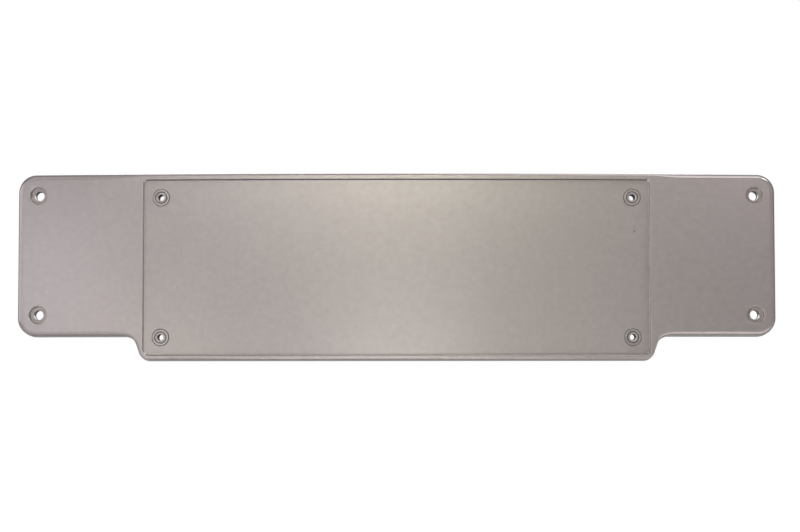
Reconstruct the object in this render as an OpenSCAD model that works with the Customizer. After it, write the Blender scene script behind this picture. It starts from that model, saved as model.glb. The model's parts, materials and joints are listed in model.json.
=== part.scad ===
// Number plate holder: one moulded panel, bowed in plan, that bolts to a bumper by its two ears.
// X runs to the right, Z runs up and the front looks along -Y.
// The origin is the middle of the four ear bolts, on the plane that the ear bosses seat against.

/* [Outline, measured at the back edge] */
// Width over the two ears
panel_w = 805; // [790:1:840]
// Height of an ear
ear_h = 173; // [160:1:190]
// How far the middle hangs below the ears
middle_drop = 25.5; // [20:0.5:40]
// Distance from the centre line to the middle of each step
step_x = 274; // [272:1:300]
// Radius of the two bends of a step
step_r = 12; // [9:0.5:13]
// Lean of a step's wall away from upright, in degrees
step_lean = 19.5; // [12:0.5:35]
// Radius of the ears' outer corners
corner_r = 20; // [12:1:30]
// Radius of the bow that the front follows from side to side
bow_r = 4500; // [3500:100:9000]

/* [Walls] */
// Thickness of the moulding
wall = 3; // [2:0.1:3.5]
// Depth of the side walls behind the front face
edge_depth = 18; // [16:0.5:20]
// Draft of every wall, in degrees
draft = 5; // [2:0.5:7]
// Rounding of the front edge on the ears
ear_edge_r = 5.5; // [4:0.1:6]
// Rounding of the front edge on the rims above and below the recess
rim_edge_r = 2.2; // [1:0.1:2.6]
// Length over which one rounding runs into the other
edge_blend = 40; // [20:1:80]

/* [Plate recess, measured at its floor] */
// Width of the recess
recess_w = 534; // [522:1:536]
// Height of the recess
recess_h = 185; // [170:0.5:186]
// Height of the recess's centre above the ear bolts' centre
recess_z = -13.25; // [-14:0.05:-12.5]
// Depth of the floor behind the front face
recess_depth = 4; // [3.5:0.1:6]
// Radius of the recess's upper corners
recess_top_r = 3.5; // [3:0.1:8]
// Radius of the recess's lower corners
recess_bottom_r = 6.5; // [3:0.1:10]
// Rounding where the recess's walls meet the front face
recess_lip_r = 0.5; // [0.4:0.1:1]
// Fillet where the recess's walls meet its floor
recess_fillet_r = 0.6; // [0.4:0.1:1]

/* [Ear bolts] */
// Distance between the bolts from side to side
ear_pitch_x = 759; // [740:1:762]
// Distance between the bolts from top to bottom
ear_pitch_z = 126.5; // [110:0.5:128]
// Diameter of the bolt holes
ear_hole_d = 10; // [6:0.1:11]
// Diameter of the pocket for a bolt head
head_pocket_d = 18; // [14:0.5:19]
// Depth of the pocket
head_pocket_depth = 7; // [5:0.5:10]
// Chamfer round the mouth of the pocket
head_pocket_lip = 0.8; // [0.3:0.1:1]
// Diameter of the boss behind an ear bolt
ear_boss_d = 24; // [22:0.5:28]
// Distance from the front face at an ear bolt to the seat plane
ear_seat_depth = 21; // [20:0.5:26]

/* [Plate screws] */
// Distance between the screws from side to side
plate_pitch_x = 497.5; // [470:0.5:504]
// Distance between the screws from top to bottom
plate_pitch_z = 147.5; // [130:0.5:152]
// Diameter of the screw holes
plate_hole_d = 6.6; // [4:0.1:7]
// Diameter of the boss behind a screw hole
plate_boss_d = 16; // [12:0.5:20]
// Depth of the end of that boss behind the front face
plate_boss_depth = 23; // [19:0.5:25]
// Diameter of the collar round a screw hole, along its crest
collar_d = 8.8; // [8.2:0.1:9.6]
// Diameter of the outer ring round a screw hole, along its crest
ring_d = 14.8; // [13.6:0.1:16]
// Width of the collar and of the ring
bead_w = 2.4; // [1.6:0.1:2.6]
// Height of the collar and the ring above the recess's floor
bead_h = 1.1; // [0.5:0.1:1.2]

/* [Ribs on the back] */
// Thickness of a rib
rib_t = 2; // [1.5:0.1:3]
// How far the ribs stop short of the back edge
rib_gap = 2; // [1:0.1:6]
// Height of the upper rib, which runs into the bosses of both rows of holes
upper_rib_z = 62; // [60:0.5:64]
// Distance between the upright ribs behind the recess
rib_pitch = 124; // [90:1:125]
// Distance from the centre line to the upright rib behind each ear
ear_rib_x = 325; // [310:1:345]

/* [Smoothness] */
// Flats round each bend of the outline
bend_steps = 8; // [4:1:10]
// Flats across a rounded edge
edge_steps = 4; // [2:1:6]
// Flats along each half of the middle
middle_steps = 8; // [6:1:12]
// Flats along the straight run of an ear
ear_steps = 3; // [2:1:6]

/* [Hidden] */
hole_fn = 64;                 // fineness of the round holes and bosses
bow_fn = 1080;                // fineness of the ribs that follow the bow
sink = 1.2;                   // how deep a boss, bead or rib is rooted in the skin
through = 2;                  // how far a cutter runs past what it cuts

half_h = ear_h / 2;
middle_z = -half_h - middle_drop;
ear_bolt_x = ear_pitch_x / 2;
front_y = -ear_seat_depth - bow(ear_bolt_x);
floor_back = recess_depth + wall;
rib_back = edge_depth - rib_gap;

// The step is two equal bends joined by a leaning wall that touches both
step_rise = middle_drop - 2 * step_r;
step_run = (2 * step_r + step_rise * sin(step_lean)) / cos(step_lean);
inner_bend = [step_x - step_run / 2, middle_z + step_r];
outer_bend = [step_x + step_run / 2, -half_h - step_r];
corner_x = panel_w / 2 - corner_r;

// How far the bow has carried the front face back at a distance x from the centre line
function bow(x) = bow_r - sqrt(bow_r * bow_r - x * x);

// Depth t behind the front face, at a place on it
function on_front(x, z, t) = [x, front_y + bow(x) + t, z];

function unit(a) = [cos(a), sin(a)];
function flip(list) = [for (i = [len(list) - 1 : -1 : 0]) list[i]];
function spread(a, b, n) = [for (i = [0 : n]) a + (b - a) * i / n];
function ease(s) = let (c = max(0, min(1, s))) c * c * (3 - 2 * c);

// An outline's points are [x, z, direction that the wall faces, in degrees]
function bend(centre, r, from, to) =
    [for (a = spread(from, to, bend_steps)) concat(centre + r * unit(a), a)];
function run(from_x, to_x, z, facing, n) = [for (x = spread(from_x, to_x, n)) [x, z, facing]];
function rest_of(list) = [for (i = [1 : len(list) - 1]) list[i]];
function mirrored(list) = [for (p = flip(rest_of(list))) [-p[0], p[1], 180 - p[2]]];
function both_halves(list) = concat(mirrored(list), list);

// Right half of the outline's lower chain: middle, step, ear and corner
lower_half = concat(
    run(0, inner_bend[0], middle_z, -90, middle_steps),
    rest_of(bend(inner_bend, step_r, -90, -step_lean)),
    [for (a = spread(-step_lean, -90, bend_steps)) concat(outer_bend - step_r * unit(a), a)],
    rest_of(run(outer_bend[0], corner_x, -half_h, -90, ear_steps)),
    rest_of(bend([corner_x, -half_h + corner_r], corner_r, -90, 0)));

// Its upper chain stands over the lower one, point for point
corner_start = len(lower_half) - 1 - bend_steps;
upper_half = concat(
    [for (i = [0 : corner_start]) [lower_half[i][0], half_h, 90]],
    rest_of(bend([corner_x, half_h - corner_r], corner_r, 90, 0)));

lower = both_halves(lower_half);
upper = both_halves(upper_half);
chain = len(lower);
outline = concat(lower, flip(upper));

// The recess's floor has as many points as the part of the outline that lies round it
function recess_half(z, r, facing) = concat(
    run(0, recess_w / 2 - r, z, facing, middle_steps),
    rest_of(bend([recess_w / 2 - r, z - r * sin(facing)], r, facing, 0)));
floor_lower = both_halves(recess_half(recess_z - recess_h / 2, recess_bottom_r, -90));
floor_upper = both_halves(recess_half(recess_z + recess_h / 2, recess_top_r, 90));
floor_chain = len(floor_lower);
floor_outline = concat(floor_lower, flip(floor_upper));
first_middle = (chain - floor_chain) / 2;
last_middle = first_middle + floor_chain - 1;

// Edge sections are [distance in from the outline, depth behind the front face]
function edge_r(x) = rim_edge_r
    + (ear_edge_r - rim_edge_r) * ease((abs(x) - recess_w / 2 + recess_top_r) / edge_blend);
function wall_in(t) = (edge_depth - t) * tan(draft);
function edge_section(r, k) = let (
    a = draft + (90 - draft) * k / edge_steps,
    centre_in = wall_in(r - r * sin(draft)) + r * cos(draft))
    [centre_in - r * cos(a), r - r * sin(a)];
function skin_depth(i) = i >= first_middle && i <= last_middle ? floor_back : wall;

// A ring is the outline moved in by s[0] and put s[1] behind the front face
function moved(p, s) = on_front(p[0] - s[0] * cos(p[2]), p[1] - s[0] * sin(p[2]), s[1]);
function chain_index(i) = i < chain ? i : 2 * chain - 1 - i;
function inner_ring() = [for (i = [0 : 2 * chain - 1]) let (t = skin_depth(chain_index(i)))
    moved(outline[i], [wall + wall_in(t), t])];
function level_ring(s) = [for (p = outline) moved(p, s)];
function edge_ring(k) = [for (p = outline) moved(p, edge_section(edge_r(p[0]), k))];

// The recess's section, from the front face over its lip and down the wall to the floor
wall_out = (recess_depth - recess_lip_r * (1 - sin(draft)) - recess_fillet_r * (1 - sin(draft)))
    * tan(draft);
fillet_out = recess_fillet_r * cos(draft);
lip_out = fillet_out + wall_out + recess_lip_r * cos(draft);
recess_section = concat(
    [for (a = spread(90, draft, edge_steps))
        [lip_out - recess_lip_r * cos(a), recess_lip_r * (1 - sin(a))]],
    [for (a = spread(draft, 90, edge_steps))
        [recess_fillet_r * cos(a), recess_depth - recess_fillet_r * (1 - sin(a))]]);
recess_inset = recess_fillet_r;
function recess_ring(s) = [for (p = floor_outline) moved(p, [recess_inset - s[0], s[1]])];

edge_rings = edge_steps + 4;
ring_points = 2 * chain;
face_ring = (edge_rings - 1) * ring_points;
recess_start = edge_rings * ring_points;
recess_rings = len(recess_section);
recess_points = 2 * floor_chain;
floor_ring = recess_start + (recess_rings - 1) * recess_points;

// Faces are triangles, seen clockwise from outside
function band(a, b, n) = [for (i = [0 : n - 1]) let (j = (i + 1) % n)
    each [[a + i, b + j, a + j], [a + i, b + i, b + j]]];
function quad(lower_left, upper_left, upper_right, lower_right) =
    [[lower_left, upper_left, upper_right], [lower_left, upper_right, lower_right]];
function strip(ring, n, i) =
    quad(ring + i, ring + 2 * n - 1 - i, ring + 2 * n - 2 - i, ring + i + 1);
function top_of(ring, n, i) = ring + 2 * n - 1 - i;

skin_points = concat(
    inner_ring(),
    level_ring([wall, edge_depth]),
    level_ring([0, edge_depth]),
    [for (k = [0 : edge_steps]) each edge_ring(k)],
    [for (s = recess_section) each recess_ring(s)]);

ear_strips = [for (i = concat([for (j = [0 : first_middle - 1]) j],
                              [for (j = [last_middle : chain - 2]) j]))
    each strip(face_ring, chain, i)];
rim_strips = [for (i = [0 : floor_chain - 2]) let (o = first_middle + i) each concat(
    quad(face_ring + o, recess_start + i, recess_start + i + 1, face_ring + o + 1),
    quad(top_of(recess_start, floor_chain, i), top_of(face_ring, chain, o),
         top_of(face_ring, chain, o + 1), top_of(recess_start, floor_chain, i + 1)))];
recess_sides = concat(
    quad(face_ring + first_middle, top_of(face_ring, chain, first_middle),
         top_of(recess_start, floor_chain, 0), recess_start),
    quad(recess_start + floor_chain - 1, recess_start + floor_chain,
         top_of(face_ring, chain, last_middle), face_ring + last_middle));

skin_faces = concat(
    [for (i = [0 : chain - 2]) each [for (f = strip(0, chain, i)) flip(f)]],
    [for (k = [0 : edge_rings - 2]) each band(k * ring_points, (k + 1) * ring_points, ring_points)],
    ear_strips,
    rim_strips,
    recess_sides,
    [for (k = [0 : recess_rings - 2]) let (a = recess_start + k * recess_points)
        each band(a, a + recess_points, recess_points)],
    [for (i = [0 : floor_chain - 2]) each strip(floor_ring, floor_chain, i)]);

// Drafted walls, rounded edges, bowed front and recess in one closed skin
module skin() {
    polyhedron(points = skin_points, faces = skin_faces);
}

// A round bar along Y between two depths
module bar(d, from_y, to_y) {
    translate([0, from_y, 0])
        rotate([-90, 0, 0])
            cylinder(d = d, h = to_y - from_y, $fn = hole_fn);
}

module at_holes(pitch_x, pitch_z, middle) {
    for (side = [-1, 1], row = [-1, 1])
        translate([side * pitch_x / 2, 0, middle + row * pitch_z / 2])
            children();
}

// Turns its children to look along the bow's own normal, on the right or the left
module square_to_bow(x, t) {
    translate(on_front(x, 0, t))
        rotate([-90, 0, asin(x / bow_r)])
            children();
}

module ear_bosses() {
    skin_y = front_y + bow(ear_bolt_x) + wall - sink;
    at_holes(ear_pitch_x, ear_pitch_z, 0)
        bar(ear_boss_d, skin_y, 0);
}

module ear_bores() {
    mouth_y = front_y + bow(ear_bolt_x);
    at_holes(ear_pitch_x, ear_pitch_z, 0) {
        bar(head_pocket_d, mouth_y - through, mouth_y + head_pocket_depth);
        bar(ear_hole_d, mouth_y, through);
    }
}

module pocket_lips() {
    run_out = 1;
    low_d = head_pocket_d - 2 * run_out;
    high_d = head_pocket_d + 2 * (head_pocket_lip + run_out);
    for (side = [-1, 1], row = [-1, 1])
        translate([0, 0, row * ear_pitch_z / 2])
            square_to_bow(side * ear_bolt_x, -run_out)
                cylinder(d1 = high_d, d2 = low_d, h = head_pocket_lip + 2 * run_out, $fn = hole_fn);
}

module plate_bosses() {
    base = front_y + bow(plate_pitch_x / 2);
    at_holes(plate_pitch_x, plate_pitch_z, recess_z)
        bar(plate_boss_d, base + floor_back - sink, base + plate_boss_depth);
}

module plate_bores() {
    base = front_y + bow(plate_pitch_x / 2);
    at_holes(plate_pitch_x, plate_pitch_z, recess_z)
        bar(plate_hole_d, base, base + plate_boss_depth + through);
}

// A raised round bead, bead_h proud of the floor and bead_w wide there
module bead(d) {
    r = (bead_w * bead_w / 4 + bead_h * bead_h) / (2 * bead_h);
    rotate_extrude($fn = hole_fn)
        translate([d / 2, r - bead_h])
            circle(r = r, $fn = hole_fn / 2);
}

module plate_beads() {
    for (side = [-1, 1], row = [-1, 1])
        translate([0, 0, recess_z + row * plate_pitch_z / 2])
            square_to_bow(side * plate_pitch_x / 2, recess_depth) {
                bead(collar_d);
                bead(ring_d);
            }
}

// A flat rib that follows the bow, between two distances from the centre line and two depths
module bowed_rib(from_x, to_x, z, front, back) {
    start = asin(from_x / bow_r);
    sweep = asin(to_x / bow_r) - start;
    translate([0, front_y + bow_r, z])
        rotate([0, 0, start - 90])
            rotate_extrude(angle = sweep, $fn = bow_fn)
                translate([bow_r - back, -rib_t / 2])
                    square([back - front, rib_t]);
}

// Behind the ears the skin lies further forward, so there a rib has a second, deeper root
module long_ribs() {
    floor_root = floor_back - sink;
    skin_root = wall - sink;
    lower_row_z = recess_z - plate_pitch_z / 2;
    ear_start = recess_w / 2 + wall;
    ear_end = ear_bolt_x - ear_hole_d / 2 - sink;
    for (z = [upper_rib_z, -ear_pitch_z / 2]) {
        bowed_rib(-ear_end, ear_end, z, floor_root, rib_back);
        bowed_rib(ear_start, ear_end, z, skin_root, floor_back);
        bowed_rib(-ear_end, -ear_start, z, skin_root, floor_back);
    }
    bowed_rib(-recess_w / 2, recess_w / 2, lower_row_z, floor_root, rib_back);
}

// An upright rib rooted in the skin and in the walls above and below it
module upright_rib(x, low_z, front) {
    base = front_y + bow(x);
    inset = wall / 2 + wall_in(front);
    translate([x - rib_t / 2, base + front, low_z + inset])
        cube([rib_t, rib_back - front, half_h - low_z - 2 * inset]);
}

module upright_ribs() {
    for (i = [-2 : 2])
        upright_rib(i * rib_pitch, middle_z, floor_back - sink);
    for (side = [-1, 1])
        upright_rib(side * ear_rib_x, -half_h, wall - sink);
}

module holder_panel() {
    color("#aaa29e")
        difference() {
            union() {
                skin();
                ear_bosses();
                plate_bosses();
                plate_beads();
                long_ribs();
                upright_ribs();
            }
            ear_bores();
            pocket_lips();
            plate_bores();
        }
}

holder_panel();
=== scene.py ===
import json
import math

import bmesh
import bpy
import numpy as np
from mathutils import Matrix, Vector
from mathutils.geometry import delaunay_2d_cdt


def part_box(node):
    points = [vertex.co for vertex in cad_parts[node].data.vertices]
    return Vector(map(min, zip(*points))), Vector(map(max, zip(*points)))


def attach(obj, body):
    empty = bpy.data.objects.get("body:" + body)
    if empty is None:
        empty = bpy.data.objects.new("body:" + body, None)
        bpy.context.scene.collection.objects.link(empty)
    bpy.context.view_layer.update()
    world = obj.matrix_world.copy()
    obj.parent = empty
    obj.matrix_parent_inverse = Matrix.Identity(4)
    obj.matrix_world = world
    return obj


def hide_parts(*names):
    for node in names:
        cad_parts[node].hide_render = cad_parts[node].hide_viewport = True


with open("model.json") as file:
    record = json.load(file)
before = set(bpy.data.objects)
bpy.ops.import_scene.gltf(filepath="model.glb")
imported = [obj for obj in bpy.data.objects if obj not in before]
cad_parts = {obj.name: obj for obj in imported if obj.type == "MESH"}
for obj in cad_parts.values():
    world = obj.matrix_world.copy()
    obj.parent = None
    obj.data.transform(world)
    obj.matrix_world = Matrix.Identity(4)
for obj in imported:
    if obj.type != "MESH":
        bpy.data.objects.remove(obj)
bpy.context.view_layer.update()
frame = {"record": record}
mounts = {m["name"]: m for m in frame["record"]["mounts"]}
panelLow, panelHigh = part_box("holder_panel")

# The moulding's own sizes, in metres. Depths run back from the bowed front face.
panel = {
    "halfWidth": panelHigh[0],
    "topZ": panelHigh[2],
    "middleZ": panelLow[2],
    "earBottomZ": -panelHigh[2],
    "bowRadius": 4.5,
    "stepX": 0.274,
    "stepRadius": 0.012,
    "stepLean": math.radians(19.5),
    "cornerRadius": 0.020,
    "wall": 0.003,
    "edgeDepth": 0.018,
    "draft": math.radians(5),
    "earEdgeRadius": 0.0055,
    "rimEdgeRadius": 0.0022,
    "edgeBlend": 0.040,
    "backEdgeRadius": 0.0004,
    "innerFillet": 0.0008,
    "filletRows": 4,
    "backRows": 3,
    "innerRows": (0.15, 0.5, 0.9),    # shares of the inner and of the outer wall's height
    "outerRows": (0.1, 0.5, 0.9),
    "backStep": 0.003,       # the back steps out behind the recess over this width
    "runStep": 0.004,        # spacing of the outline's points along its straight runs
    "bendStep": math.radians(3),
    "edgeRows": 9,
    "supportGap": 0.0004,    # a narrow row beside each bend keeps the flats' shading flat
    "sharpAngle": math.radians(32),
}

recess = {
    "width": 0.534,
    "height": 0.185,
    "centreZ": mounts["plate_screws"]["pos_m"][2],
    "depth": 0.004,
    "topRadius": 0.0035,
    "bottomRadius": 0.0065,
    "lipRadius": 0.0005,
    "filletRadius": 0.0006,
    "arcRows": 6,
    "wallRows": (0.75, 0.4),  # shares of the wall's height
}

earHole = {
    "x": mounts["ear_bolts"]["dims"]["spacing_x_mm"] / 2000,
    "z": mounts["ear_bolts"]["dims"]["spacing_y_mm"] / 2000,
    "radius": mounts["ear_bolts"]["dims"]["hole_r_mm"] / 1000,
    "pocketRadius": 0.009,
    "pocketDepth": 0.007,
    "lip": 0.001,
    "lipRows": 7,
    "bossRadius": 0.012,
    "seatDepth": 0.021,
    "edge": 0.0005,
    "wallRow": 0.0006,       # rows this far from a wall's ends keep it straight
    "follow": (0.9, 0.05),   # how much of the bow the wall's first and last rows keep
    "sides": 96,
}

plateHole = {
    "x": mounts["plate_screws"]["dims"]["spacing_x_mm"] / 2000,
    "z": mounts["plate_screws"]["dims"]["spacing_y_mm"] / 2000,
    "radius": mounts["plate_screws"]["dims"]["hole_r_mm"] / 1000,
    "collarRadius": 0.0044,
    "ringRadius": 0.0074,
    "beadWidth": 0.0026,
    "beadHeight": 0.0011,
    # One side of a bead from its foot to its crest, as shares of the half width and of the height
    "beadSide": [(1, 0), (0.93, 0.14), (0.86, 0.5), (0.79, 0.86), (0.70, 1), (0.35, 1.03)],
    # The collar's inner side rolls into the bore: how far out from it, and the share of the height
    "boreSide": [(0.0006, 1), (0.0002, 0.86), (0, 0.5)],
    "boreRows": [(0.0006, 0.9), (0.004, 0.1)],    # depth in the bore, and how much of the bow it keeps
    "groove": 0.0004,
    "grooveRow": (0.5, 0.7),    # the outer groove's deepest row, as shares of its width and depth
    "bossRadius": 0.008,
    "bossDepth": 0.023,
    "edge": 0.0004,
    "sides": 96,
}

# The back ends of the bosses, and the rows that keep their walls straight beside each bend
boss = {
    "fillet": 0.0012,
    "boreRow": 0.003,
    "endRow": 0.001,
    "rootRow": 0.0005,
    "follow": (0.05, 0.95),
    "filletRows": 5,
}

ribs = {
    "thickness": 0.002,
    "gap": 0.002,
    "upperZ": 0.062,
    "pitch": 0.124,
    "earX": 0.325,
    "root": 0.0012,
    "crown": 0.0006,
    "crownRows": 4,
    "bossMiss": 0.0055,      # a rib stops this far from the middle of a boss, inside its wall
    "levelStep": 0.008,
    "uprightStations": 12,
}


# How far the bow carries the front back at x: the radius less the height of its circle there
def bow(x):
    return panel["bowRadius"] - np.sqrt(panel["bowRadius"] ** 2 - x * x)


frontY = -earHole["seatDepth"] - bow(earHole["x"])
floorBack = recess["depth"] + panel["wall"]


# A straight run of outline points [x, z, facing], spaced evenly between its two ends
def run(x0, z0, x1, z1, facing, step):
    n = max(1, int(round(math.hypot(x1 - x0, z1 - z0) / step)))
    s = np.linspace(0, 1, n + 1)
    return np.stack([x0 + (x1 - x0) * s, z0 + (z1 - z0) * s, np.full(n + 1, facing)], axis=1)


# An arc of outline points: centre plus side times radius along the facing, which turns evenly
def bend(cx, cz, radius, facing0, facing1, side=1):
    n = max(2, int(round(abs(facing1 - facing0) / panel["bendStep"])))
    a = np.linspace(facing0, facing1, n + 1)
    return np.stack([cx + side * radius * np.cos(a), cz + side * radius * np.sin(a), a], axis=1)


# The right half runs from the bottom middle to the top middle; the left half is its mirror image
def closeLoop(parts):
    right = np.concatenate([parts[0]] + [p[1:] for p in parts[1:]])
    left = right[::-1][1:-1] * [-1, 1, -1] + [0, 0, math.pi]
    return np.concatenate([right, left])


# The panel's outline at its back edge: middle, step, ear, two corners and the top
def panelOutline():
    down, up = -math.pi / 2, math.pi / 2
    lean, r = panel["stepLean"], panel["stepRadius"]
    w, top, ear, mid = panel["halfWidth"], panel["topZ"], panel["earBottomZ"], panel["middleZ"]
    c, step = panel["cornerRadius"], panel["runStep"]
    rise = ear - mid - 2 * r
    reach = (2 * r + rise * math.sin(lean)) / math.cos(lean)
    innerX, outerX = panel["stepX"] - reach / 2, panel["stepX"] + reach / 2
    innerBend = bend(innerX, mid + r, r, down, -lean)
    outerBend = bend(outerX, ear - r, r, -lean, down, side=-1)
    stepWall = run(*innerBend[-1][:2], *outerBend[0][:2], -lean, step)
    return closeLoop([
        run(0, mid, innerX, mid, down, step), innerBend, stepWall, outerBend,
        run(outerX, ear, w - c, ear, down, step), bend(w - c, ear + c, c, down, 0),
        run(w, ear + c, w, top - c, 0, step), bend(w - c, top - c, c, 0, up),
        run(w - c, top, 0, top, up, step)])


# The recess's outline at its floor: a rectangle with its own radius at the top and at the bottom
def recessOutline():
    down, up = -math.pi / 2, math.pi / 2
    w, top = recess["width"] / 2, recess["centreZ"] + recess["height"] / 2
    low = top - recess["height"]
    rt, rb, step = recess["topRadius"], recess["bottomRadius"], panel["runStep"]
    return closeLoop([
        run(0, low, w - rb, low, down, step), bend(w - rb, low + rb, rb, down, 0),
        run(w, low + rb, w, top - rt, 0, step), bend(w - rt, top - rt, rt, 0, up),
        run(w - rt, top, 0, top, up, step)])


# A ring: the outline moved out by away along its facing, at a depth behind the bowed front
def ring(outline, away, depth):
    x = outline[:, 0] + away * np.cos(outline[:, 2])
    z = outline[:, 1] + away * np.sin(outline[:, 2])
    return np.stack([x, frontY + bow(x) + depth, z], axis=1)


# Patches of surface are collected here as pairs of points and faces, then welded into one mesh
patches = []


# Quads between rows of n points, each row closed on itself: point a, the next one b, and the two
# points n places on, in the row that follows
def tubeFaces(rows, n):
    start = np.arange(rows - 1)[:, None] * n
    a, b = start + np.arange(n)[None, :], start + (np.arange(n)[None, :] + 1) % n
    return np.stack([a, b, b + n, a + n], axis=-1).reshape(-1, 4)


# Rings of equal length joined by quads, each ring to the next and round on itself
def addRings(rings):
    grid = np.stack(rings)
    patches.append((grid.reshape(-1, 3), tubeFaces(*grid.shape[:2])))


# Even triangles inside a region. Points go through in batches, which holds the arrays' size down
fill = {
    "step": 0.007,
    "rowShare": 0.866,       # a row of even triangles is this share of their side in height
    "clearShare": 0.55,      # no inner point lies nearer than this share of the step to a loop
    "pointBatch": 4000,
    "loopBatch": 500,
    "weld": 1e-7,
}


# True where a point is inside an odd number of the loops: it counts the edges to the point's right,
# and an edge from p to q crosses the point's height at p + (z - pz) / (qz - pz) * (q - p)
def insideLoops(points, loops):
    inside = np.zeros(len(points), bool)
    for loop in loops:
        p, q = loop, np.roll(loop, -1, axis=0)
        height = np.where(q[:, 1] == p[:, 1], 1, q[:, 1] - p[:, 1])
        for start in range(0, len(points), fill["pointBatch"]):
            batch = slice(start, start + fill["pointBatch"])
            x, z = points[batch, 0, None], points[batch, 1, None]
            crossed = (p[:, 1] > z) != (q[:, 1] > z)
            cross = p[:, 0] + (z - p[:, 1]) / height * (q[:, 0] - p[:, 0])
            inside[batch] ^= (np.sum(crossed & (x < cross), axis=1) % 2).astype(bool)
    return inside


# A grid of even triangles' corners inside the loops, clear of the points that are fixed
def innerPoints(fixed, loops):
    low, high = fixed.min(axis=0), fixed.max(axis=0)
    step = fill["step"]
    gx, gz = np.meshgrid(np.arange(low[0], high[0], step),
                         np.arange(low[1], high[1], step * fill["rowShare"]))
    gx[1::2] += step / 2
    inner = np.stack([gx.ravel(), gz.ravel()], axis=1)
    inner = inner[insideLoops(inner, loops)]
    clear = np.ones(len(inner), bool)
    for start in range(0, len(fixed), fill["loopBatch"]):
        batch = fixed[None, start:start + fill["loopBatch"], :]
        clear &= np.linalg.norm(inner[:, None, :] - batch, axis=2).min(axis=1) > fill["clearShare"] * step
    return inner[clear]


# A flat region between ring loops, filled with even triangles and then bent to the bow:
# y = front + bow(x) + depthOf(x)
def addFill(rings, depthOf, facesBack=False, lines=()):
    loops = [r[:, [0, 2]] for r in rings]
    fixed = np.concatenate(loops + list(lines))
    edges, base = [], 0
    for loop in loops:
        i = np.arange(len(loop))
        edges.append(np.stack([base + i, base + (i + 1) % len(loop)], axis=1))
        base += len(loop)
    for line in lines:
        i = np.arange(len(line) - 1)
        edges.append(np.stack([base + i, base + i + 1], axis=1))
        base += len(line)
    everything = np.concatenate([fixed, innerPoints(fixed, loops)])
    corners, _, tris, owners, _, _ = delaunay_2d_cdt(
        [Vector(p) for p in everything], np.concatenate(edges).tolist(), [], 0, fill["weld"])
    flat = np.array([everything[own[0]] if own else tuple(v) for v, own in zip(corners, owners)])
    tris = np.array(tris)
    tris = tris[insideLoops(flat[tris].mean(axis=1), loops)]
    e1, e2 = flat[tris[:, 1]] - flat[tris[:, 0]], flat[tris[:, 2]] - flat[tris[:, 0]]
    turned = e1[:, 0] * e2[:, 1] - e1[:, 1] * e2[:, 0] < 0
    tris[turned] = tris[turned][:, ::-1]
    x, z = flat[:, 0], flat[:, 1]
    points = np.stack([x, frontY + bow(x) + depthOf(x), z], axis=1)
    patches.append((points, tris[:, ::-1] if facesBack else tris))


# A smooth step from 0 to 1: 3s^2 - 2s^3, held at its ends
def ease(s):
    s = np.clip(s, 0, 1)
    return s * s * (3 - 2 * s)


# The skin's back: the floor's back behind the recess, less the recess's depth behind the ears, with
# a smooth step between them
def skinBack(x):
    start = recess["width"] / 2 + panel["wall"]
    return floorBack - recess["depth"] * ease((np.abs(x) - start) / panel["backStep"])


# The panel's wall and rounded edge, swept round the outline from the hollow back to the front face.
# A wall moves in by its height times the tangent of the draft, and an edge is a quarter turn less the
# draft. It gives back its first ring and its last
def addEdges():
    outline = panelOutline()
    x = outline[:, 0]
    depth, draft, gap = panel["edgeDepth"], panel["draft"], panel["supportGap"]
    wall, fillet, blunt = panel["wall"], panel["innerFillet"], panel["backEdgeRadius"]

    # How far the outer wall stands in at a depth
    def wallIn(t):
        return (depth - t) * math.tan(draft)

    blend = ease((np.abs(x) - recess["width"] / 2 + recess["topRadius"]) / panel["edgeBlend"])
    radius = panel["rimEdgeRadius"] + (panel["earEdgeRadius"] - panel["rimEdgeRadius"]) * blend
    rows = []
    inset = wall + wallIn(skinBack(x)) + fillet
    for extra in (gap, 0):
        back = skinBack(x - (inset + extra) * np.cos(outline[:, 2]))
        rows.append(ring(outline, -(inset + extra), back))
    for a in np.linspace(0, math.pi / 2, panel["filletRows"] + 1)[1:]:
        rows.append(ring(outline, -(inset - fillet * math.sin(a)), back + fillet * (1 - math.cos(a))))
    for s in panel["innerRows"]:
        t = back + fillet + (depth - blunt - back - fillet) * s
        rows.append(ring(outline, -(wall + wallIn(t)), t))
    for a in np.linspace(0, math.pi / 2, panel["backRows"] + 1):
        t = depth - blunt + blunt * math.sin(a)
        rows.append(ring(outline, -(wall - blunt + blunt * math.cos(a)), t))
    for a in np.linspace(math.pi / 2, 0, panel["backRows"] + 1):
        t = depth - blunt + blunt * math.sin(a)
        rows.append(ring(outline, -(blunt - blunt * math.cos(a)), t))
    rise = radius * (1 - math.sin(draft))
    for s in panel["outerRows"]:
        t = depth - blunt + (rise - depth + blunt) * s
        rows.append(ring(outline, -wallIn(t), t))
    centreIn = (depth - rise) * math.tan(draft) + radius * math.cos(draft)
    for a in np.linspace(draft, math.pi / 2, panel["edgeRows"] + 1):
        rows.append(ring(outline, -(centreIn - radius * math.cos(a)), radius * (1 - math.sin(a))))
    rows.append(ring(outline, -(centreIn + gap), 0))
    addRings(rows)
    return rows[0], rows[-1]


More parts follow.
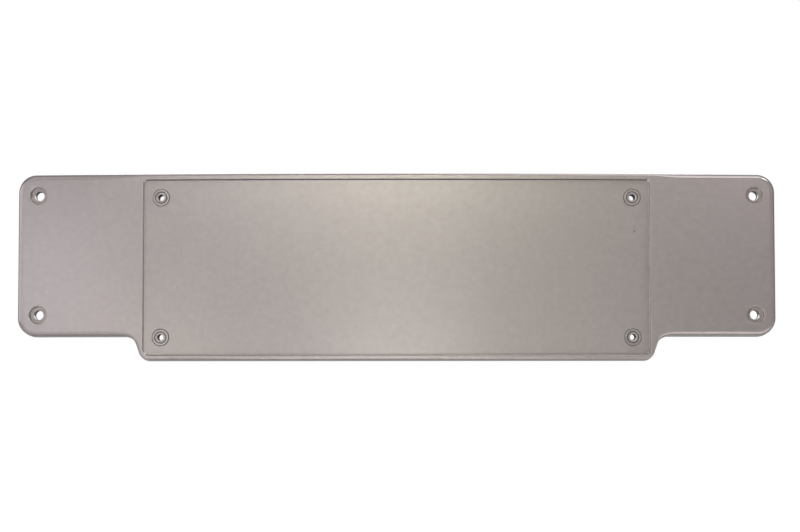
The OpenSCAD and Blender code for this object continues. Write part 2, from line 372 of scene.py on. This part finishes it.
# The recess's lip, drafted wall and fillet, swept round its outline from the face to the floor: two
# quarter turns less the draft, with a straight wall between them
def addRecess():
    outline = recessOutline()
    draft, gap, deep = panel["draft"], panel["supportGap"], recess["depth"]
    lip, fillet, rows = recess["lipRadius"], recess["filletRadius"], []
    wallOut = (deep - (lip + fillet) * (1 - math.sin(draft))) * math.tan(draft)
    lipOut = fillet * math.cos(draft) + wallOut + lip * math.cos(draft) - fillet
    rows.append(ring(outline, lipOut + gap, 0))
    for a in np.linspace(math.pi / 2, draft, recess["arcRows"] + 1):
        rows.append(ring(outline, lipOut - lip * math.cos(a), lip * (1 - math.sin(a))))
    for s in recess["wallRows"]:
        t = fillet + (deep - lip - fillet) * s
        rows.append(ring(outline, fillet * math.cos(draft) - fillet + wallOut * s, deep - t))
    for a in np.linspace(draft, math.pi / 2, recess["arcRows"] + 1):
        rows.append(ring(outline, fillet * math.cos(a) - fillet, deep - fillet * (1 - math.sin(a))))
    rows.append(ring(outline, -fillet - gap, deep))
    addRings(rows)
    return rows[0], rows[-1]


# A hole's section, turned about its axis. Each row is [radius, depth, follow], where follow 1 keeps
# the row on the bow and 0 keeps it flat: y = front + follow bow(x) + (1 - follow) bow(axis) + depth
def addTurned(section, axisX, axisZ, sides):
    a = np.arange(sides) * 2 * math.pi / sides
    rows = []
    for r, t, follow in section:
        x, z = axisX + r * np.cos(a), axisZ + r * np.sin(a)
        y = frontY + follow * bow(x) + (1 - follow) * bow(axisX) + t
        rows.append(np.stack([x, y, z], axis=1))
    addRings(rows)
    return rows[0], rows[-1]


# Rows of a quarter turn from start to end degrees about a centre: r = centre + radius cos(a) and
# depth = centre + radius sin(a)
def quarter(centreR, centreT, radius, start, end, follow, n=5):
    a = np.radians(np.linspace(start, end, n + 1))
    return [(centreR + radius * math.cos(v), centreT + radius * math.sin(v), follow) for v in a]


# The back of a boss: out round its end, then forward along its wall to a fillet on the skin
def bossSection(holeR, edge, bossR, endT, skinT):
    gap, fillet = panel["supportGap"], boss["fillet"]
    low, high = boss["follow"]
    rows = [(holeR, endT - edge - boss["boreRow"], 0)]
    rows += quarter(holeR + edge, endT - edge, edge, 180, 90, 0)
    rows += [(holeR + edge + gap, endT, 0), (bossR - edge - gap, endT, 0)]
    rows += quarter(bossR - edge, endT - edge, edge, 90, 0, 0)
    rows += [(bossR, endT - edge - boss["endRow"], low)]
    rows += [(bossR, skinT + fillet + boss["rootRow"], high)]
    rows += [(bossR + fillet - fillet * math.cos(v), skinT + fillet - fillet * math.sin(v), 1)
             for v in np.linspace(0, math.pi / 2, boss["filletRows"] + 1)]
    return rows + [(bossR + fillet + gap, skinT, 1)]


# An ear hole: rounded lip, straight pocket for the bolt's head, seat, bore and boss
def earHoleSection():
    r, pocket, deep = earHole["radius"], earHole["pocketRadius"], earHole["pocketDepth"]
    lip, edge, gap, inward = earHole["lip"], earHole["edge"], panel["supportGap"], earHole["wallRow"]
    rows = [(pocket + lip + gap, 0, 1)]
    rows += quarter(pocket + lip, lip, lip, -90, -180, 1, n=earHole["lipRows"])
    rows += [(pocket, lip + inward, earHole["follow"][0])]
    rows += [(pocket, deep - edge - inward, earHole["follow"][1])]
    rows += quarter(pocket - edge, deep - edge, edge, 0, 90, 0)
    rows += [(pocket - edge - gap, deep, 0), (r + edge + gap, deep, 0)]
    rows += quarter(r + edge, deep + edge, edge, -90, -180, 0)
    return rows + bossSection(r, edge, earHole["bossRadius"], earHole["seatDepth"], panel["wall"])


# A plate hole: a ring and a collar with flat crests and steep sides, a narrow groove beside each,
# then bore and boss
def plateHoleSection():
    r, ringR, collarR = plateHole["radius"], plateHole["ringRadius"], plateHole["collarRadius"]
    half, high, deep = plateHole["beadWidth"] / 2, plateHole["beadHeight"], recess["depth"]
    gap, edge, groove = panel["supportGap"], plateHole["edge"], plateHole["groove"]
    side, (across, down) = plateHole["beadSide"], plateHole["grooveRow"]
    rows = [(ringR + half + groove + k * gap, deep, 1) for k in (2, 1, 0)]
    rows += [(ringR + half + groove * across, deep + groove * down, 1)]
    rows += [(ringR + half * s, deep - high * k, 1) for s, k in side]
    rows += [(ringR - half * s, deep - high * k, 1) for s, k in side[::-1]]
    rows += [((ringR + collarR) / 2, deep + groove, 1)]
    rows += [(collarR + half * s, deep - high * k, 1) for s, k in side]
    rows += [(r + out, deep - high * k, 1) for out, k in plateHole["boreSide"]]
    rows += [(r, deep + t, follow) for t, follow in plateHole["boreRows"]]
    return rows + bossSection(r, edge, plateHole["bossRadius"], plateHole["bossDepth"], floorBack)


# All the patches in one mesh: corners that round to the same micron become one
def weldPatches(name):
    points = np.concatenate([p for p, f in patches])
    keys = np.round(points * 1e6).astype(np.int64)
    _, first, where = np.unique(keys, axis=0, return_index=True, return_inverse=True)
    where = where.ravel()
    faces, base = [], 0
    for p, f in patches:
        faces += where[f + base].tolist()
        base += len(p)
    mesh = bpy.data.meshes.new(name)
    mesh.from_pydata(points[first].tolist(), [], faces)
    mesh.validate()
    return mesh


# Upright lines of points that hold the fill's triangles straight where the back steps
backLines = {
    "count": 5,
    "points": 60,
    "aboveBottom": 0.03,
    "belowTop": 0.008,
}


# The moulding without its ribs: swept edges and recess, turned holes, and fills for the face, the
# recess's floor and the back between them
def buildSkin():
    innerLoop, faceLoop = addEdges()
    mouthLoop, floorLoop = addRecess()
    earMouths, earBacks, plateMouths, plateBacks = [], [], [], []
    for side in (-1, 1):
        for row in (-1, 1):
            a, b = addTurned(earHoleSection(), side * earHole["x"], row * earHole["z"], earHole["sides"])
            earMouths.append(a)
            earBacks.append(b)
            z = recess["centreZ"] + row * plateHole["z"]
            a, b = addTurned(plateHoleSection(), side * plateHole["x"], z, plateHole["sides"])
            plateMouths.append(a)
            plateBacks.append(b)
    addFill([faceLoop, mouthLoop] + earMouths, lambda x: 0 * x)
    addFill([floorLoop] + plateMouths, lambda x: 0 * x + recess["depth"])
    z = np.linspace(panel["middleZ"] + backLines["aboveBottom"],
                    panel["topZ"] - backLines["belowTop"], backLines["points"])
    lines = []
    for across in np.linspace(0, panel["backStep"], backLines["count"]):
        x = recess["width"] / 2 + panel["wall"] + across
        lines += [np.stack([z * 0 + side * x, z], axis=1) for side in (-1, 1)]
    addFill([innerLoop] + earBacks + plateBacks, skinBack, facesBack=True, lines=lines)
    return weldPatches("holderPanel")


# A closed bar: one section of points carried along stations, with its two ends capped
def addBar(name, grid):
    stations, n = grid.shape[:2]
    faces = tubeFaces(stations, n).tolist()
    faces += [list(range(n))[::-1], list(range((stations - 1) * n, stations * n))]
    mesh = bpy.data.meshes.new(name)
    mesh.from_pydata(grid.reshape(-1, 3).tolist(), [], faces)
    shell = bmesh.new()
    shell.from_mesh(mesh)
    bmesh.ops.recalc_face_normals(shell, faces=shell.faces)
    shell.to_mesh(mesh)
    shell.free()
    bar = bpy.data.objects.new(name, mesh)
    bpy.context.collection.objects.link(bar)
    return bar


# A rib's section as [across, depth]: straight sides and a crest rounded by two quarter turns
def ribSection(front, back):
    half, crown = ribs["thickness"] / 2, ribs["crown"]
    a = np.linspace(0, math.pi / 2, ribs["crownRows"] + 1)
    right = np.stack([half - crown + crown * np.cos(a), back - crown + crown * np.sin(a)], axis=1)
    left = right[::-1] * [-1, 1]
    return np.concatenate([[[half, front]], right, left, [[-half, front]]])


# A level rib follows the bow: y = front + bow(x) + depth at every station
def levelRib(name, x0, x1, z, front, back):
    section = ribSection(front, back)
    x = np.linspace(x0, x1, max(2, int(abs(x1 - x0) / ribs["levelStep"])))
    grid = np.empty((len(x), len(section), 3))
    grid[:, :, 0] = x[:, None]
    grid[:, :, 1] = frontY + bow(x)[:, None] + section[None, :, 1]
    grid[:, :, 2] = z + section[None, :, 0]
    return addBar(name, grid)


# An upright rib is straight: y = front + bow at its own x + depth
def uprightRib(name, x, z0, z1, front, back):
    section = ribSection(front, back)
    z = np.linspace(z0, z1, ribs["uprightStations"])
    grid = np.empty((len(z), len(section), 3))
    grid[:, :, 0] = x + section[None, :, 0]
    grid[:, :, 1] = frontY + bow(x) + section[None, :, 1]
    grid[:, :, 2] = z[:, None]
    return addBar(name, grid)


# The stretches of a rib from start to end, broken inside the wall of each boss that it runs through
def spans(start, end, bosses):
    stops = [start]
    for middle in bosses:
        stops += [middle - ribs["bossMiss"], middle + ribs["bossMiss"]]
    stops.append(end)
    return list(zip(stops[::2], stops[1::2]))


# Two level ribs join the bosses, a third joins the lower plate bosses, and upright ribs cross them
def makeRibs():
    back = panel["edgeDepth"] - ribs["gap"]
    floorRoot, skinRoot = floorBack - ribs["root"], panel["wall"] - ribs["root"]
    start = recess["width"] / 2 + panel["wall"]
    end = earHole["x"] - earHole["radius"] - ribs["root"]
    plateX, halfRecess = plateHole["x"], recess["width"] / 2
    lowerZ, upperZ = recess["centreZ"] - plateHole["z"], recess["centreZ"] + plateHole["z"]
    bars = []
    for x0, x1 in spans(-end, end, (-plateX, plateX)):
        bars.append(levelRib("ribUpper", x0, x1, ribs["upperZ"], floorRoot, back))
    bars.append(levelRib("ribMiddle", -end, end, -earHole["z"], floorRoot, back))
    for x0, x1 in spans(-halfRecess, halfRecess, (-plateX, plateX)):
        bars.append(levelRib("ribLower", x0, x1, lowerZ, floorRoot, back))
    for z in (ribs["upperZ"], -earHole["z"]):
        for side in (-1, 1):
            bars.append(levelRib("ribEar", side * start, side * end, z, skinRoot, floorBack))

    # An upright rib at x, with its ends inside the walls below and above
    def upright(x, lowZ, bosses, root):
        inset = panel["wall"] / 2 + (panel["edgeDepth"] - root) * math.tan(panel["draft"])
        for z0, z1 in spans(lowZ + inset, panel["topZ"] - inset, bosses):
            bars.append(uprightRib("ribUpright", x, z0, z1, root, back))

    for i in range(-2, 3):
        upright(i * ribs["pitch"], panel["middleZ"], (lowerZ, upperZ) if abs(i) == 2 else (), floorRoot)
    for side in (-1, 1):
        upright(side * ribs["earX"], panel["earBottomZ"], (), skinRoot)
    return bars


# Joins each bar to the panel as one closed solid
def uniteWith(target, bars):
    for bar in bars:
        union = target.modifiers.new("join", "BOOLEAN")
        union.operation = "UNION"
        union.solver = "MANIFOLD"
        union.object = bar
    graph = bpy.context.evaluated_depsgraph_get()
    joined = bpy.data.meshes.new_from_object(target.evaluated_get(graph))
    target.modifiers.clear()
    target.data = joined
    for bar in bars:
        bpy.data.objects.remove(bar, do_unlink=True)


skinMesh = buildSkin()
holder = bpy.data.objects.new("holderPanel", skinMesh)
bpy.context.collection.objects.link(holder)
print("skin", len(skinMesh.vertices), "points", len(skinMesh.polygons), "faces")
uniteWith(holder, makeRibs())
holder.data.shade_smooth()
holder.data.set_sharp_from_angle(angle=panel["sharpAngle"])
print("with ribs", len(holder.data.vertices), "points", len(holder.data.polygons), "faces")

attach(holder, "root")
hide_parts("holder_panel")


# Signed distance past a rounded rectangle, negative inside it: the length of the overshoot past the
# corners' centres where both overshoot, else the larger of the two, less the radius
def pastRectangle(x, z, halfWidth, halfHeight, radius):
    dx, dz = np.abs(x) - halfWidth + radius, np.abs(z) - halfHeight + radius
    outside = np.hypot(np.maximum(dx, 0), np.maximum(dz, 0))
    return outside + np.minimum(np.maximum(dx, dz), 0) - radius


# A point attribute of painted shade, which nears 1 where shade falls: along the recess's foot and up its
# top wall, in the grooves of the plate-hole rings and in the bores. Each line is a bell of the distance d
# from its middle: exp(-(d / reach)^2). A second attribute paints a highlight, a pale glint, on three
# corners of the recess's wall, by the same bell
def paintShadeAndGlints(piece):
    # Strengths and reaches of the painted shade and of the painted glints
    look = {
        "footReach": 0.00025,
        "footTop": 1.0,
        "footLeft": 0.34,
        "footRight": 0.12,
        "footBottom": 0.7,
        "wallTop": 0.9,
        "footFrom": 0.002,           # no shade at the foot where the surface is shallower than this
        "wallFrom": 0.0006,          # the top wall darkens from this depth on
        "ramp": 0.001,
        "wallPast": (-0.0004, 0.001),
        "hair": 0.0001,
        "grooveReach": 0.0004,
        "grooveShift": 0.2,          # share of a groove's width that its bell stands off
        "grooveDepth": 0.0009,
        "groove": 0.9,
        "plateBore": 1.0,
        "plateBorePast": 0.0002,
        "earBore": 0.85,
        "earBorePast": 0.0003,
        # three corners of the recess get a painted highlight, a pale glint
        "rubbedCorners": ((-1, 1), (1, 1), (-1, -1)),
        "rubReach": 0.0009,
        "rubPast": 0.001,
    }
    count = len(piece.data.vertices)
    points = np.empty(count * 3)
    piece.data.vertices.foreach_get("co", points)
    x, y, z = points.reshape(-1, 3).T
    depth = y - frontY - bow(x)
    level = z - recess["centreZ"]
    deep, fillet, hair = recess["depth"], recess["filletRadius"], look["hair"]
    halfWidth, halfHeight = recess["width"] / 2, recess["height"] / 2
    topRadius, bottomRadius = recess["topRadius"], recess["bottomRadius"]
    past = pastRectangle(x, level, halfWidth, halfHeight, np.where(level > 0, topRadius, bottomRadius))
    roofed = ease((level - halfHeight + topRadius) / topRadius)
    lowered = ease((-level - halfHeight + bottomRadius) / bottomRadius)

    # Painted shade along the recess's foot: strongest at the top, then the bottom, then the left, weakest
    # on the right, as light falls; and painted shade up the top wall, which faces down
    around = np.where(x > 0, look["footRight"], look["footLeft"])
    strength = around + (look["footTop"] - around) * roofed + (look["footBottom"] - around) * lowered
    middle = -fillet / 2 * (1 - lowered)
    foot = strength * np.exp(-((past - middle) / look["footReach"]) ** 2)
    foot *= (past > -fillet - hair) & (depth > look["footFrom"]) & (depth < deep + hair)
    inner, outer = look["wallPast"]
    onWall = (past > inner) & (past < outer) & (depth < deep - hair)
    upWall = ease((depth - look["wallFrom"]) / look["ramp"]) * onWall * look["wallTop"] * roofed
    shade = np.maximum(foot, upWall)

    # Painted shade in the grooves of the plate-hole rings and in the bores of both kinds of hole
    fromScrew = np.hypot(np.abs(x) - plateHole["x"], np.abs(level) - plateHole["z"])
    ringR, collarR = plateHole["ringRadius"], plateHole["collarRadius"]
    for r in ((ringR + collarR) / 2, ringR + plateHole["beadWidth"] / 2):
        off = fromScrew - r - plateHole["groove"] * look["grooveShift"]
        near = np.exp(-(off / look["grooveReach"]) ** 2) * (np.abs(depth - deep) < look["grooveDepth"])
        shade = np.maximum(shade, near * look["groove"])
    inBore = (fromScrew < plateHole["radius"] + look["plateBorePast"]) * look["plateBore"]
    shade = np.maximum(shade, inBore * ease((depth - deep) / look["ramp"]))
    fromBolt = np.hypot(np.abs(x) - earHole["x"], np.abs(z) - earHole["z"])
    inBore = (fromBolt < earHole["radius"] + look["earBorePast"]) * look["earBore"]
    shade = np.maximum(shade, inBore * ease((depth - earHole["pocketDepth"]) / look["ramp"]))

    # Painted highlight: a pale glint on the recess's wall at three of its corners
    rubbed = np.zeros(count)
    for side, row in look["rubbedCorners"]:
        inset = (topRadius if row > 0 else bottomRadius) * (1 - math.sqrt(0.5))
        cornerX, cornerZ = side * (halfWidth - inset), row * (halfHeight - inset)
        rubbed += np.exp(-(np.hypot(x - cornerX, level - cornerZ) / look["rubReach"]) ** 2)
    rubbed *= (np.abs(past) < look["rubPast"]) & (depth > hair) & (depth < deep + hair)
    for name, values in (("crease", shade), ("rubbed", rubbed)):
        layer = piece.data.attributes.new(name, "FLOAT", "POINT")
        layer.data.foreach_set("value", values.astype(np.float32))


# Moulded grey plastic with a metallic satin finish, faintly mottled and a little wavy. Its grey is
# mix(deep, pale, mottle), then a near black by the painted-shade attribute and a near white by the
# painted-glint attribute, which paints highlights. The metallic share is metallic - metallic * shade,
# so the painted shade also takes the sheen away, and the roughness follows the mottle and grows by
# dulling * shade. One small dark speck lies on the recess's floor, in the same near black: its share
# falls evenly from 1 at its middle to 0 at its reach
def satinPlastic():
    look = {
        "deepGrey": (0.360, 0.318, 0.310, 1),
        "paleGrey": (0.432, 0.382, 0.374, 1),
        # near black for the painted shade and for the real dark speck; near white for the painted glints
        "creaseGrey": (0.03, 0.026, 0.025, 1),
        "rubbedGrey": (0.9, 0.88, 0.86, 1),
        "metallic": 0.5,
        "roughness": (0.24, 0.27),
        "dulling": 0.6,
        "speckAt": (0.2509, frontY + 0.011, 0.0247),
        "speckReach": 0.0013,
        "mottle": (170, 3),      # scale and detail of the noise
        "wave": (16, 1),
        "waveHeight": 0.00005,
        "grain": (2600, 2),
        "grainHeight": 0.00001,
    }
    material = bpy.data.materials.new("satinGreyPlastic")
    material.use_nodes = True
    nodes, links = material.node_tree.nodes, material.node_tree.links
    shader = nodes["Principled BSDF"]
    place = nodes.new("ShaderNodeTexCoord").outputs["Object"]

    # Sets a socket to a value, or links it to what another node gives
    def feed(socket, value):
        if isinstance(value, bpy.types.NodeSocket):
            links.new(value, socket)
        else:
            socket.default_value = value

    # What a point attribute of the mesh says
    def attribute(name):
        node = nodes.new("ShaderNodeAttribute")
        node.attribute_name = name
        return node.outputs["Fac"]

    # Soft noise round 0.5, of so many lumps to the metre
    def noise(scale, detail):
        node = nodes.new("ShaderNodeTexNoise")
        feed(node.inputs["Vector"], place)
        feed(node.inputs["Scale"], scale)
        feed(node.inputs["Detail"], detail)
        return node.outputs["Fac"]

    # first * (1 - share) + second * share
    def mix(share, first, second):
        node = nodes.new("ShaderNodeMix")
        node.data_type = "RGBA"
        feed(node.inputs["Factor"], share)
        for name, value in (("A", first), ("B", second)):
            feed([i for i in node.inputs if i.name == name and i.type == "RGBA"][0], value)
        return [o for o in node.outputs if o.type == "RGBA"][0]

    # value * factor + extra
    def multiplyAdd(value, factor, extra):
        node = nodes.new("ShaderNodeMath")
        node.operation = "MULTIPLY_ADD"
        for socket, given in zip(node.inputs, (value, factor, extra)):
            feed(socket, given)
        return node.outputs[0]

    # first + (last - first) * value / reach, held at its ends
    def spread(value, reach, first, last):
        node = nodes.new("ShaderNodeMapRange")
        feed(node.inputs["Value"], value)
        feed(node.inputs["From Max"], reach)
        feed(node.inputs["To Min"], first)
        feed(node.inputs["To Max"], last)
        return node.outputs["Result"]

    # The distance between a point of the surface and a place
    def away(middle):
        node = nodes.new("ShaderNodeVectorMath")
        node.operation = "DISTANCE"
        feed(node.inputs[0], place)
        feed(node.inputs[1], middle)
        return node.outputs["Value"]

    # The normal, bent by a height that is worth so many metres at 1
    def bump(height, metres, under=None):
        node = nodes.new("ShaderNodeBump")
        feed(node.inputs["Strength"], 1)
        feed(node.inputs["Distance"], metres)
        feed(node.inputs["Height"], height)
        if under:
            feed(node.inputs["Normal"], under)
        return node.outputs["Normal"]

    mottle, crease = noise(*look["mottle"]), attribute("crease")
    speck = spread(away(look["speckAt"]), look["speckReach"], 1, 0)
    grey = mix(mottle, look["deepGrey"], look["paleGrey"])
    grey = mix(speck, grey, look["creaseGrey"])
    # Painted shade: the grey goes near black along the recess's foot and top wall, in the grooves and the
    # bores
    grey = mix(crease, grey, look["creaseGrey"])
    # Painted highlight: the grey goes near white at three of the recess's corners
    feed(shader.inputs["Base Color"], mix(attribute("rubbed"), grey, look["rubbedGrey"]))
    feed(shader.inputs["Metallic"], multiplyAdd(crease, -look["metallic"], look["metallic"]))
    rough = spread(mottle, 1, *look["roughness"])
    feed(shader.inputs["Roughness"], multiplyAdd(crease, look["dulling"], rough))
    wave = bump(noise(*look["wave"]), look["waveHeight"])
    feed(shader.inputs["Normal"], bump(noise(*look["grain"]), look["grainHeight"], wave))
    return material


# Painted shade in the creases and painted glints on three corners, kept as point attributes
paintShadeAndGlints(holder)
holder.data.materials.clear()
holder.data.materials.append(satinPlastic())
print("creases marked and plastic made")

# The camera, worked out from where the hole pattern and the outline fall in the picture
view = {
    "pictureWide": 800,      # pixels
    "pictureHigh": 532,
    "focalPixels": 1900.0,
    "levelRow": 370,         # the picture's row on which a level line of sight falls
    "distance": 1.9935,
    "acrossX": 0.0035,
    "heightZ": -0.1214,
    "roll": math.radians(-0.04),
    "sensorWide": 36,
    "clipEnd": 50,
}


# Looks along +Y, pitched up by atan((levelRow - half the height) / focal length) and then rolled
# about its own axis. It stands back from the panel's front by the distance times the pitch's cosine
def addCamera():
    pitch = math.atan((view["levelRow"] - view["pictureHigh"] / 2) / view["focalPixels"])
    roll = view["roll"]
    forward = Vector((0, math.cos(pitch), math.sin(pitch)))
    up = Vector((0, -math.sin(pitch), math.cos(pitch)))
    right = Vector((1, 0, 0))
    rolledRight = right * math.cos(roll) + up * math.sin(roll)
    rolledUp = up * math.cos(roll) - right * math.sin(roll)
    data = bpy.data.cameras.new("camera")
    data.sensor_width = view["sensorWide"]
    data.lens = view["focalPixels"] / view["pictureWide"] * view["sensorWide"]
    data.clip_end = view["clipEnd"]
    camera = bpy.data.objects.new("camera", data)
    turn = Matrix((rolledRight, rolledUp, -forward)).transposed().to_4x4()
    at = Vector((view["acrossX"], frontY - view["distance"] * math.cos(pitch), view["heightZ"]))
    camera.matrix_world = Matrix.Translation(at) @ turn
    bpy.context.collection.objects.link(camera)
    bpy.context.scene.camera = camera


stage = {
    "floorZ": -0.36,
    "floorHalf": 12.0,
    "floorGrey": 0.5,
    "floorGlow": 0.95,
    "roomLight": 0.125,
    "backdrop": 1.0,
}


# A pale floor that takes the panel's shadow and shows white to the camera: a diffuse grey, plus a
# glow that counts for rays from the camera alone
def addFloor():
    h, z = stage["floorHalf"], stage["floorZ"]
    mesh = bpy.data.meshes.new("floor")
    mesh.from_pydata([(-h, -h, z), (h, -h, z), (h, h, z), (-h, h, z)], [], [(0, 1, 2, 3)])
    floor = bpy.data.objects.new("floor", mesh)
    bpy.context.collection.objects.link(floor)
    material = bpy.data.materials.new("paleFloor")
    material.use_nodes = True
    nodes, links = material.node_tree.nodes, material.node_tree.links
    nodes.clear()
    out = nodes.new("ShaderNodeOutputMaterial")
    diffuse = nodes.new("ShaderNodeBsdfDiffuse")
    diffuse.inputs["Color"].default_value = (*[stage["floorGrey"]] * 3, 1)
    glow = nodes.new("ShaderNodeEmission")
    glow.inputs["Color"].default_value = (1, 1, 1, 1)
    seen = nodes.new("ShaderNodeLightPath")
    lift = nodes.new("ShaderNodeMath")
    lift.operation = "MULTIPLY"
    lift.inputs[1].default_value = stage["floorGlow"]
    links.new(seen.outputs["Is Camera Ray"], lift.inputs[0])
    links.new(lift.outputs[0], glow.inputs["Strength"])
    both = nodes.new("ShaderNodeAddShader")
    links.new(diffuse.outputs[0], both.inputs[0])
    links.new(glow.outputs[0], both.inputs[1])
    links.new(both.outputs[0], out.inputs["Surface"])
    mesh.materials.append(material)


# Soft boxes: "round" is degrees round from the front towards +X, "up" is degrees above level. Those in
# front shade the faces, the side and corner ones draw the bright lines along the rounded edges
lights = {
    "frontHigh": {"round": 0, "up": 13, "size": (0.63, 0.26), "power": 6.4, "tint": (0.95, 1, 0.82)},
    "frontHighLeft": {"round": -12, "up": 13, "size": (0.63, 0.26), "power": 3.5, "tint": (0.98, 1, 0.97)},
    "frontHighRight": {"round": 12, "up": 13, "size": (0.63, 0.26), "power": 1.85, "tint": (0.96, 1, 0.8)},
    "frontLow": {"round": 0, "up": -4, "size": (0.47, 0.21), "power": 2.15, "tint": (0.97, 1, 0.95)},
    "frontLowLeft": {"round": -18, "up": -4, "size": (0.47, 0.21), "power": 1.2, "tint": (0.96, 1, 0.8)},
    "frontLowRight": {"round": 14, "up": -4, "size": (0.47, 0.21), "power": 0.5, "tint": (0.96, 1, 0.9)},
    "frontLeft": {"round": -27, "up": 2, "size": (0.52, 0.31), "power": 1.6, "tint": (0.9, 0.9, 1)},
    "frontRight": {"round": 27, "up": 10, "size": (0.47, 0.21), "power": 1.05, "tint": (0.97, 0.92, 1)},
    "sideLeft": {"round": -55, "up": 8, "size": (1.8, 1.8), "power": 12.8, "tint": (0.95, 0.94, 1)},
    "farLeft": {"round": -90, "up": 8, "size": (1.8, 1.8), "power": 16, "tint": (0.88, 0.95, 1)},
    "highLeft": {"round": -40, "up": 35, "size": (1.6, 1.3), "power": 4.0, "tint": (0.94, 0.88, 1)},
    "highRight": {"round": 32, "up": 48, "size": (1.4, 1.2), "power": 13, "tint": (1, 1, 0.97)},
    "topLeft": {"round": -30, "up": 60, "size": (2.2, 1.8), "power": 6.7, "tint": (1, 0.99, 0.96)},
    "topRight": {"round": 60, "up": 72, "size": (1.8, 1.4), "power": 16, "tint": (0.95, 0.97, 1)},
    "cornerRight": {"round": 68, "up": 42, "size": (0.9, 0.8), "power": 18, "tint": (1, 1, 1)},
    "sideRight": {"round": 66, "up": 10, "size": (0.9, 0.9), "power": 2.0, "tint": (1, 1, 1)},
    "behind": {"round": 180, "up": 12, "size": (1.6, 1.2), "power": 40, "tint": (1, 1, 1)},
}
lightDistance = 3.0

# Cards low in front of the panel that throw light up: "at" is their middle's place, seen from above.
# The edge cards draw the bright line under each ear
bounces = {
    "bounceNear": {"at": (0, -0.42), "size": (0.5, 0.3), "power": 1.6, "tint": (0.94, 1, 0.94)},
    "bounceNearLeft": {"at": (-0.6, -0.3), "size": (0.6, 0.3), "power": 0.4, "tint": (0.93, 0.9, 1)},
    "bounceNearRight": {"at": (0.6, -0.3), "size": (0.6, 0.12), "power": 0.6, "tint": (1, 0.92, 0.9)},
    "bounceEdgeRight": {"at": (0.6, -0.12), "size": (0.5, 0.08), "power": 0.22, "tint": (1, 1, 1)},
    "bounceEdgeLeft": {"at": (-0.55, -0.18), "size": (0.5, 0.12), "power": 0.15, "tint": (1, 1, 1)},
    "bounceFarLeft": {"at": (-0.8, -1.6), "size": (1.4, 0.8), "power": 11, "tint": (0.87, 0.84, 1)},
}
bounceHeight = -0.34


# A rectangular area light at a place, facing along a direction, that the camera doesn't see
def addSoftBox(name, box, place, direction):
    data = bpy.data.lights.new(name, "AREA")
    data.shape = "RECTANGLE"
    data.size, data.size_y = box["size"]
    data.energy = box["power"]
    data.color = box["tint"]
    lamp = bpy.data.objects.new(name, data)
    lamp.location = place
    lamp.rotation_mode = "QUATERNION"
    lamp.rotation_quaternion = direction.to_track_quat("-Z", "Y")
    lamp.visible_camera = False
    bpy.context.collection.objects.link(lamp)


# A soft box stands off the origin along (cos up * sin round, -cos up * cos round, sin up) and faces
# the origin, and a card faces straight up
def addLights():
    for name, box in lights.items():
        a, e = math.radians(box["round"]), math.radians(box["up"])
        away = Vector((math.cos(e) * math.sin(a), -math.cos(e) * math.cos(a), math.sin(e)))
        addSoftBox(name, box, away * lightDistance, -away)
    for name, box in bounces.items():
        addSoftBox(name, box, (*box["at"], bounceHeight), Vector((0, 0, 1)))


# The backdrop's white for rays from the camera, and an even, dimmer room light for all others
def addWorld():
    world = bpy.data.worlds.new("room")
    world.use_nodes = True
    nodes, links = world.node_tree.nodes, world.node_tree.links
    nodes.clear()
    out = nodes.new("ShaderNodeOutputWorld")
    back = nodes.new("ShaderNodeBackground")
    seen = nodes.new("ShaderNodeLightPath")
    level = nodes.new("ShaderNodeMapRange")
    level.inputs["To Min"].default_value = stage["roomLight"]
    level.inputs["To Max"].default_value = stage["backdrop"]
    links.new(seen.outputs["Is Camera Ray"], level.inputs["Value"])
    links.new(level.outputs["Result"], back.inputs["Strength"])
    back.inputs["Color"].default_value = (1, 1, 1, 1)
    links.new(back.outputs[0], out.inputs["Surface"])
    bpy.context.scene.world = world


addCamera()
addFloor()
addLights()
addWorld()
bpy.context.scene.view_settings.view_transform = "Standard"
print("stage, camera and lights made")
